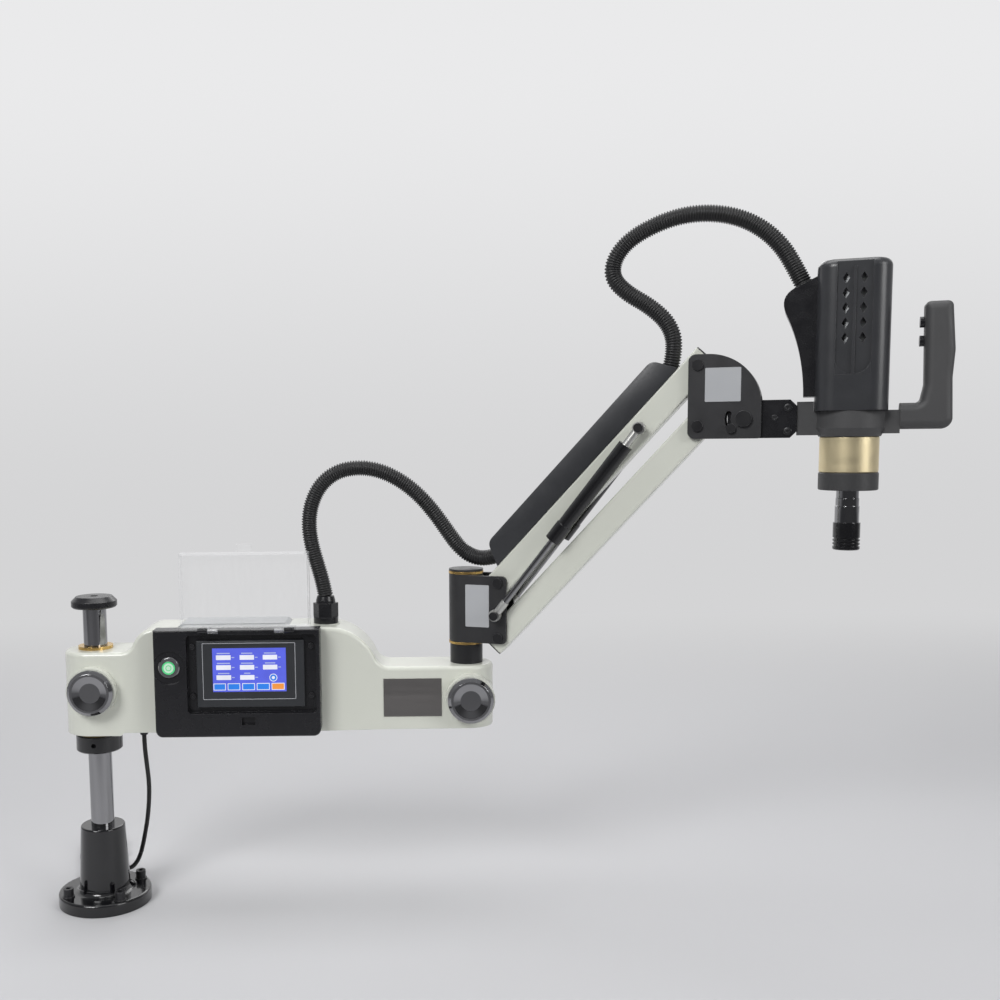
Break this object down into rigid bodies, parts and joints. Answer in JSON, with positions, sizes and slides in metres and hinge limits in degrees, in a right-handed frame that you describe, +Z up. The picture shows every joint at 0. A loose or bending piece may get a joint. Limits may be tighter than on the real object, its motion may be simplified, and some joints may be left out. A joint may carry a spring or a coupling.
{
  "type": "arm tapping machine",
  "caption": "Bench tapping machine: bolted column, swinging lower arm with control panel, sprung parallelogram arm and a motor head with a grip and a quick-change tap holder.",
  "frame": {"origin": "on the column's axis, at the underside of the base flange, where its bolts leave it", "axes": "+X along the lower arm from column to elbow, +Y away from the control panel, +Z up the column; the upper arm is swung 20 degrees towards the control panel's side"},
  "size_m": [1.0958, 0.4291, 0.8861],
  "materials": {
    "cream_paint": "sprayed cream grey enamel on metal",
    "charcoal_paint": "fine textured charcoal powder coat",
    "black_gloss": "gloss black stoved enamel",
    "chrome": "ground and hard chromed",
    "bronze": "turned bronze",
    "champagne": "champagne anodised",
    "blackened_steel": "black oxide on steel",
    "bright_steel": "turned bright steel",
    "black_moulding": "moulded black ABS, fine grain",
    "grip_moulding": "moulded dark grey nylon",
    "screen_frame": "moulded dark frame",
    "screen_glass": "lit display behind glass",
    "clear_acrylic": "moulded clear acrylic",
    "grey_paint": "light grey enamel",
    "brushed_plate": "brushed and lacquered aluminium",
    "hose_black": "ribbed black polyamide",
    "cord_black": "black rubber sheath",
    "driver_case": "plain cast housing"
  },
  "bodies": {
    "root": {"base": "black_gloss", "base_screws": "blackened_steel", "column": "chrome", "column_cap": "blackened_steel", "mains_cord": "cord_black", "mains_hank": "cord_black", "mains_plug": "black_moulding"},
    "height_collar": {"height_collar": "blackened_steel"},
    "lower_arm": {"lower_arm_casting": "cream_paint", "column_bushes": "bronze", "access_plate": "grey_paint", "control_panel": "black_moulding", "touch_screen": "screen_frame", "screen_glass": "screen_glass", "panel_screws": "blackened_steel", "latch_catch": "bright_steel", "button_ring": "chrome", "nameplate": "brushed_plate", "hose_gland": "black_moulding", "elbow_shaft": "chrome", "elbow_post": "blackened_steel", "elbow_cap": "charcoal_paint", "elbow_end_screws": "blackened_steel", "servo_driver": "driver_case", "cord_inlet": "black_moulding", "cover_hinge_pins": "bright_steel", "lower_hose": "hose_black"},
    "power_button": {"power_button": "bright_steel"},
    "clear_cover": {"clear_cover": "clear_acrylic"},
    "column_lock_knob": {"column_lock_knob": "chrome"},
    "elbow_lock_knob": {"elbow_lock_knob": "chrome"},
    "elbow": {"elbow_bracket": "charcoal_paint", "elbow_bushes": "bronze", "rear_pivot_pins": "blackened_steel", "spring_lower_pins": "blackened_steel"},
    "upper_bar": {"upper_bar": "cream_paint", "cable_duct": "charcoal_paint", "spring_upper_pins": "blackened_steel"},
    "lower_bar": {"lower_bar": "cream_paint"},
    "spring_cylinders": {"spring_cylinders": "charcoal_paint"},
    "spring_rods": {"spring_rods": "chrome"},
    "front_bracket": {"bracket_plate_near": "charcoal_paint", "bracket_plate_far": "charcoal_paint", "front_pivot_pins": "blackened_steel", "bracket_spacer": "charcoal_paint", "tilt_pin": "blackened_steel", "upper_hose": "hose_black"},
    "head": {"head_bar": "charcoal_paint", "tilt_lock_screw": "blackened_steel", "head_clamp": "grip_moulding", "motor_housing": "charcoal_paint", "terminal_box": "charcoal_paint", "reducer_ring": "champagne", "nose_ring": "charcoal_paint", "servo_motor": "driver_case", "handle_grip": "grip_moulding"},
    "spindle": {"spindle": "chrome", "tap_collet": "blackened_steel"},
    "start_button": {"start_button": "black_moulding"},
    "reverse_button": {"reverse_button": "black_moulding"}
  },
  "joints": [
    {"name": "arm_height", "type": "slide", "parent": "root", "child": "height_collar", "axis": [0, 0, 1], "range_m": [-0.095, 0.04]},
    {"name": "arm_swing", "type": "hinge", "parent": "height_collar", "child": "lower_arm", "pos_m": [0, 0, 0.285], "axis": [0, 0, 1], "range_deg": [-120, 135], "deforming": ["mains_cord"]},
    {"name": "column_knob_turn", "type": "hinge", "parent": "lower_arm", "child": "column_lock_knob", "pos_m": [0.005, -0.05, 0.292], "axis": [0, -1, 0], "range_deg": [0, 360]},
    {"name": "elbow_knob_turn", "type": "hinge", "parent": "lower_arm", "child": "elbow_lock_knob", "pos_m": [0.484, -0.05, 0.277], "axis": [0, -1, 0], "range_deg": [0, 360]},
    {"name": "power_press", "type": "slide", "parent": "lower_arm", "child": "power_button", "axis": [0, 1, 0], "range_m": [0, 0.0015], "stiffness_N_per_m": 400, "springref_m": -0.002},
    {"name": "cover_swing", "type": "hinge", "parent": "lower_arm", "child": "clear_cover", "pos_m": [0.205, -0.07, 0.373], "axis": [1, 0, 0], "range_deg": [0, 180]},
    {"name": "elbow_swing", "type": "hinge", "parent": "lower_arm", "child": "elbow", "pos_m": [0.482, 0, 0.39], "axis": [0, 0, 1], "range_deg": [-100, 140], "deforming": ["lower_hose"]},
    {"name": "arm_lift", "type": "hinge", "parent": "elbow", "child": "upper_bar", "pos_m": [0.52692, -0.01635, 0.4237], "axis": [-0.342, -0.9397, 0], "range_deg": [-45, 14]},
    {"name": "lower_bar_pivot", "type": "hinge", "parent": "elbow", "child": "lower_bar", "pos_m": [0.52692, -0.01635, 0.3532], "axis": [-0.342, -0.9397, 0], "range_deg": [-45, 14]},
    {"name": "bracket_level", "type": "hinge", "parent": "upper_bar", "child": "front_bracket", "pos_m": [0.75269, -0.09852, 0.68775], "axis": [-0.342, -0.9397, 0], "range_deg": [-14, 45]},
    {"name": "spring_foot_pivot", "type": "hinge", "parent": "elbow", "child": "spring_rods", "pos_m": [0.52579, -0.01594, 0.3839], "axis": [-0.342, -0.9397, 0], "range_deg": [-41, 13]},
    {"name": "spring_head_pivot", "type": "hinge", "parent": "upper_bar", "child": "spring_cylinders", "pos_m": [0.69116, -0.07613, 0.61578], "axis": [-0.342, -0.9397, 0], "range_deg": [-2, 5]},
    {"name": "head_tilt", "type": "hinge", "parent": "front_bracket", "child": "head", "pos_m": [0.80149, -0.11629, 0.625], "axis": [-0.342, -0.9397, 0], "range_deg": [-45, 0], "deforming": ["upper_hose"]},
    {"name": "spindle_turn", "type": "hinge", "parent": "head", "child": "spindle", "pos_m": [0.9089, -0.15538, 0.54], "axis": [0, 0, -1], "continuous": true},
    {"name": "start_press", "type": "slide", "parent": "head", "child": "start_button", "axis": [0.9397, -0.342, 0], "range_m": [0, 0.0015], "stiffness_N_per_m": 400, "springref_m": -0.002},
    {"name": "reverse_press", "type": "slide", "parent": "head", "child": "reverse_button", "axis": [0.9397, -0.342, 0], "range_m": [0, 0.0015], "stiffness_N_per_m": 400, "springref_m": -0.002}
  ],
  "couplings": [
    {"joint": "lower_bar_pivot", "follows": "arm_lift", "ratio": 1},
    {"joint": "bracket_level", "follows": "arm_lift", "ratio": -1},
    {"joint": "spring_foot_pivot", "follows": "arm_lift", "ratio": 0.911},
    {"joint": "spring_head_pivot", "follows": "arm_lift", "ratio": -0.089}
  ]
}
